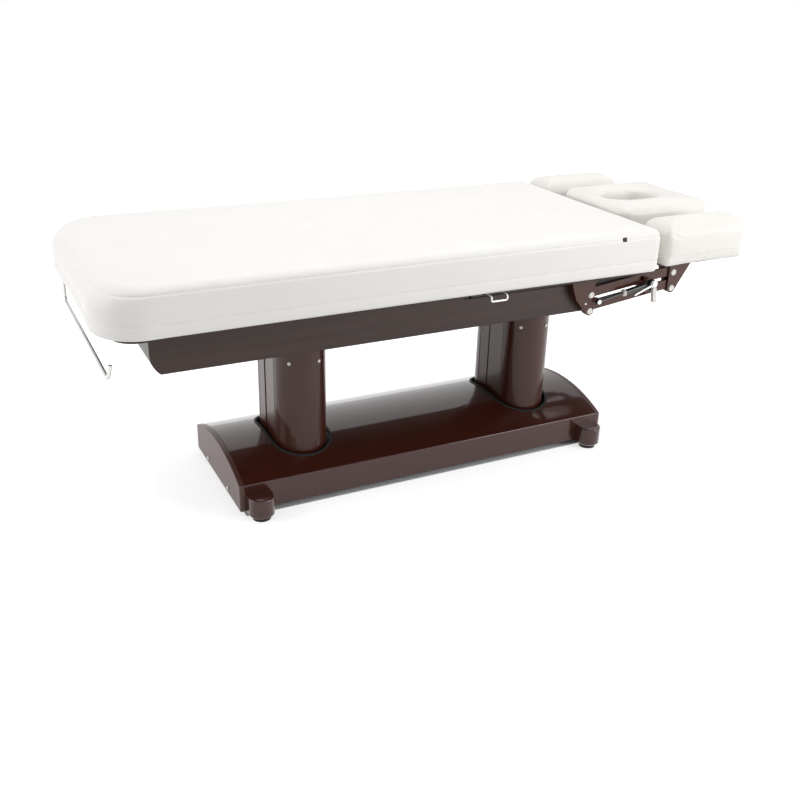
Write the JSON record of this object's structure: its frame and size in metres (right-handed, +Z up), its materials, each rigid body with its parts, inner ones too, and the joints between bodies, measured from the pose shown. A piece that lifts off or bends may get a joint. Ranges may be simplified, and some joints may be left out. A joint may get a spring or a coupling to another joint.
{
  "type": "beauty bed",
  "caption": "wide electric spa bed: arched base, telescopic columns, deep beam, thick mattress, tilting backrest, and a head section with face opening and arm pads on a four-bar linkage",
  "frame": {"origin": "on the floor under the middle of the bed's overall length and width", "axes": "+X towards the head, +Y away from the side with the gas spring, +Z up"},
  "size_m": [1.98, 0.76, 0.769],
  "materials": {
    "base_paint": "glossy dark reddish brown",
    "panel_brown": "satin reddish brown",
    "column_paint": "glossy dark reddish brown",
    "linkage_paint": "glossy reddish brown",
    "frame_steel": "dark powder coat",
    "bright_steel": "bright zinc",
    "chrome": "polished",
    "black_metal": "black",
    "white_plastic": "glossy white",
    "black_plastic": "matte black",
    "black_rubber": "matte black",
    "beam_wood": "satin dark brown veneer",
    "board_wood": "plain plywood",
    "white_upholstery": "smooth white coated fabric over foam",
    "cream_upholstery": "smooth off-white coated fabric over foam"
  },
  "bodies": {
    "base": {"base_cover": "base_paint", "base_panel_tail": "panel_brown", "base_panel_head": "panel_brown", "panel_screws": "white_plastic", "opening_trims": "black_rubber", "base_frame": "frame_steel", "foot_tail_near": "base_paint", "foot_tail_far": "base_paint", "foot_head_near": "base_paint", "foot_head_far": "base_paint", "foot_pads": "black_rubber", "fixed_columns": "column_paint", "fixed_glides": "black_plastic", "lift_actuators": "black_metal", "control_box": "black_plastic", "mains_inlet": "black_plastic"},
    "stages": {"column_stages": "column_paint", "stage_glides": "black_plastic"},
    "bed_frame": {"column_sleeve_tail": "column_paint", "column_sleeve_head": "column_paint", "sleeve_glides": "black_plastic", "sleeve_screws": "white_plastic", "lift_rods": "bright_steel", "beam": "beam_wood", "main_frame": "frame_steel", "bearers": "frame_steel", "hinge_pins": "bright_steel", "backrest_actuator": "frame_steel", "seat_board": "board_wood", "seat_cushion": "white_upholstery", "fold_cushion": "white_upholstery", "roll_bar": "chrome", "roll_bar_socket": "frame_steel", "roll_bar_clamp": "bright_steel"},
    "ram": {"backrest_ram": "bright_steel", "ram_pin": "bright_steel"},
    "backrest": {"backrest_frame": "frame_steel", "backrest_board": "board_wood", "back_cushion": "white_upholstery", "wire_loop": "bright_steel", "link_mounts": "linkage_paint", "mount_pins": "chrome", "mount_bolts": "bright_steel", "spring_stud": "bright_steel"},
    "upper_link_pair": {"upper_links": "linkage_paint", "link_stud": "bright_steel"},
    "lower_link_pair": {"lower_links": "linkage_paint"},
    "head_carrier": {"carrier_plates": "linkage_paint", "carrier_pins": "chrome", "carrier_frame": "frame_steel", "head_boards": "board_wood", "arm_pad_near": "cream_upholstery", "arm_pad_far": "cream_upholstery", "head_cushion": "cream_upholstery"},
    "gas_spring_rod": {"spring_rod": "bright_steel"},
    "gas_spring_cylinder": {"spring_cylinder": "black_metal", "spring_cap": "white_plastic"},
    "lever": {"release_lever": "bright_steel", "lever_grip": "white_plastic"}
  },
  "joints": [
    {"name": "lift", "type": "slide", "parent": "base", "child": "bed_frame", "axis": [0, 0, 1], "range_m": [-0.075, 0.175]},
    {"name": "stage_slide", "type": "slide", "parent": "base", "child": "stages", "axis": [0, 0, 1], "range_m": [-0.038, 0.088]},
    {"name": "backrest_tilt", "type": "hinge", "parent": "bed_frame", "child": "backrest", "pos_m": [0.0198, 0, 0.594], "axis": [0, -1, 0], "range_deg": [0, 60], "deforming": ["fold_cushion"]},
    {"name": "ram_slide", "type": "slide", "parent": "bed_frame", "child": "ram", "axis": [1, 0, 0], "range_m": [-0.001, 0.066]},
    {"name": "head_drop", "type": "hinge", "parent": "backrest", "child": "upper_link_pair", "pos_m": [0.442, 0, 0.5475], "axis": [0, 1, 0], "range_deg": [0, 20]},
    {"name": "lower_link_turn", "type": "hinge", "parent": "backrest", "child": "lower_link_pair", "pos_m": [0.442, 0, 0.497], "axis": [0, 1, 0], "range_deg": [-0.1, 20.1]},
    {"name": "carrier_turn", "type": "hinge", "parent": "upper_link_pair", "child": "head_carrier", "pos_m": [0.7479, 0, 0.58344], "axis": [0, 1, 0], "range_deg": [-20.1, 0.1]},
    {"name": "spring_foot_turn", "type": "hinge", "parent": "backrest", "child": "gas_spring_rod", "pos_m": [0.463, 0, 0.5275], "axis": [0, 1, 0], "range_deg": [-0.5, 22.69]},
    {"name": "spring_head_turn", "type": "hinge", "parent": "upper_link_pair", "child": "gas_spring_cylinder", "pos_m": [0.65751, 0, 0.56174], "axis": [0, 1, 0], "range_deg": [-0.5, 2.69]},
    {"name": "release_lever_turn", "type": "hinge", "parent": "upper_link_pair", "child": "lever", "pos_m": [0.65751, 0, 0.56174], "axis": [0, -1, 0], "range_deg": [0, 15], "stiffness_Nm_per_rad": 1, "springref_deg": -20.05}
  ],
  "couplings": [
    {"joint": "stage_slide", "follows": "lift", "ratio": 0.5},
    {"joint": "ram_slide", "follows": "backrest_tilt", "m_per_rad": 0.061749},
    {"joint": "lower_link_turn", "follows": "head_drop", "ratio": 1},
    {"joint": "carrier_turn", "follows": "head_drop", "ratio": -1},
    {"joint": "spring_foot_turn", "follows": "head_drop", "ratio": 1.1096},
    {"joint": "spring_head_turn", "follows": "head_drop", "ratio": 0.1096}
  ]
}
